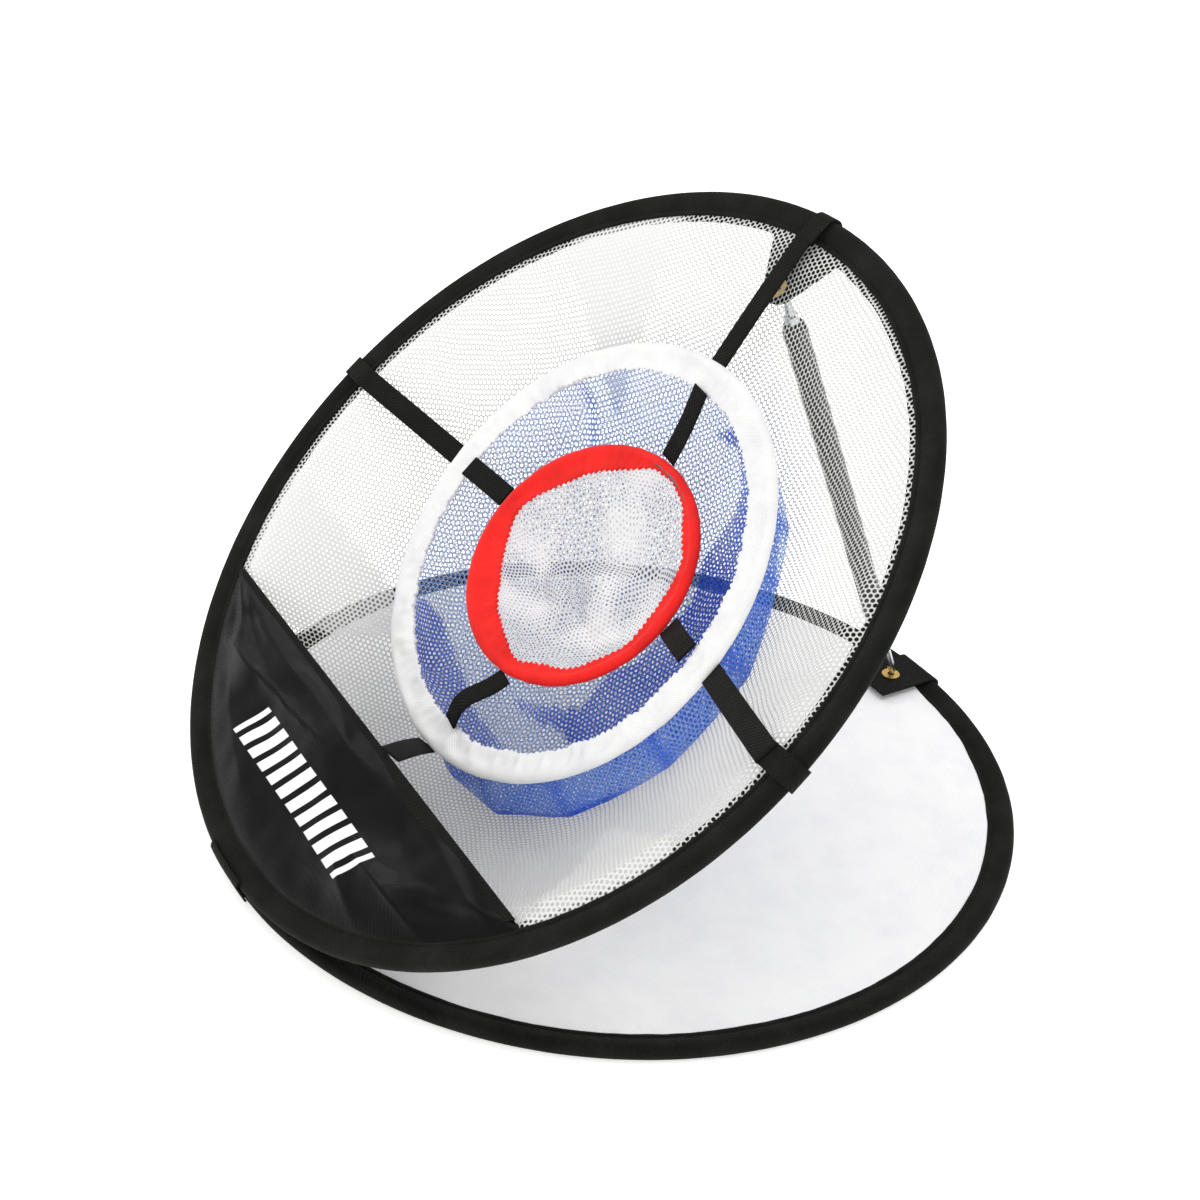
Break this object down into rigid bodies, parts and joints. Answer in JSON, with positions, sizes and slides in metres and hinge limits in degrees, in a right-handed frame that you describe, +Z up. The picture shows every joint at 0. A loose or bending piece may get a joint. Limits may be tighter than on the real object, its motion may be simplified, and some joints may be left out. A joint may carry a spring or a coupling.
{
  "type": "golf practice net",
  "caption": "Pop-up golf chipping net: a hooped target with nested ring pockets leans back over a hooped base, hinged at the front and propped by a rod.",
  "frame": {"origin": "middle of the base hoop, on the ground", "axes": "+Z up; the hinge and the player are on the -Y side, the prop rod on the +Y side; +X is to the player's right"},
  "size_m": [0.512, 0.5155, 0.3549],
  "materials": {
    "edge_tape": "matt woven tape",
    "webbing": "matt webbing",
    "white_net": "knitted net",
    "blue_net": "knitted net",
    "panel_cloth": "coated taffeta, semi-gloss",
    "ground_cloth": "smooth taffeta",
    "white_cover": "soft sewn cloth",
    "red_cover": "soft sewn cloth",
    "rod": "glossy fibreglass",
    "steel": "bright drawn",
    "brass": "pressed"
  },
  "bodies": {
    "base": {"base_hoop_wire": "steel", "base_edge_tape": "edge_tape", "base_ground_cloth": "ground_cloth", "base_rod_tab": "webbing", "base_tab_eyelet": "brass", "hinge_tape": "webbing"},
    "target": {"target_hoop_wire": "steel", "target_edge_tape": "edge_tape", "outer_net_pocket": "white_net", "front_panel": "panel_cloth", "panel_hem_tape": "webbing", "target_rod_tab": "webbing", "target_tab_eyelet": "brass", "strap_hook_top": "webbing", "strap_hook_left": "webbing", "strap_hook_right": "webbing", "strap_outer_top": "webbing", "strap_outer_left": "webbing", "strap_outer_right": "webbing", "strap_outer_bottom": "webbing"},
    "middle_ring": {"middle_ring_wire": "steel", "middle_ring_cover": "white_cover", "middle_net_pocket": "blue_net", "strap_inner_top": "webbing", "strap_inner_left": "webbing", "strap_inner_right": "webbing", "strap_inner_bottom": "webbing"},
    "centre_ring": {"centre_ring_wire": "steel", "centre_ring_cover": "red_cover", "centre_net_pocket": "white_net"},
    "prop": {"prop_rod": "rod", "prop_rod_foot_tip": "steel", "prop_rod_head_tip": "steel"}
  },
  "joints": [
    {"name": "target_fold", "type": "hinge", "parent": "base", "child": "target", "pos_m": [0, -0.2497, 0.0092], "axis": [1, 0, 0], "range_deg": [-40.25, 0], "deforming": ["outer_net_pocket", "middle_net_pocket", "centre_net_pocket"]},
    {"name": "prop_swing", "type": "hinge", "parent": "base", "child": "prop", "pos_m": [-0.00552, 0.22593, 0.015], "axis": [1, 0, 0], "range_deg": [-113, 0]},
    {"name": "middle_ring_slide", "type": "slide", "parent": "target", "child": "middle_ring", "axis": [0, -0.6724, 0.7402], "range_m": [0, 0.035], "deforming": ["strap_outer_top", "strap_outer_left", "strap_outer_right", "strap_outer_bottom"]},
    {"name": "centre_ring_slide", "type": "slide", "parent": "middle_ring", "child": "centre_ring", "axis": [0, -0.6724, 0.7402], "range_m": [0, 0.0045], "deforming": ["strap_inner_top", "strap_inner_left", "strap_inner_right", "strap_inner_bottom"]}
  ],
  "couplings": [
    {"joint": "prop_swing", "follows": "target_fold", "ratio": 2.8},
    {"joint": "middle_ring_slide", "follows": "target_fold", "m_per_rad": -0.0491},
    {"joint": "centre_ring_slide", "follows": "target_fold", "m_per_rad": -0.0057}
  ]
}
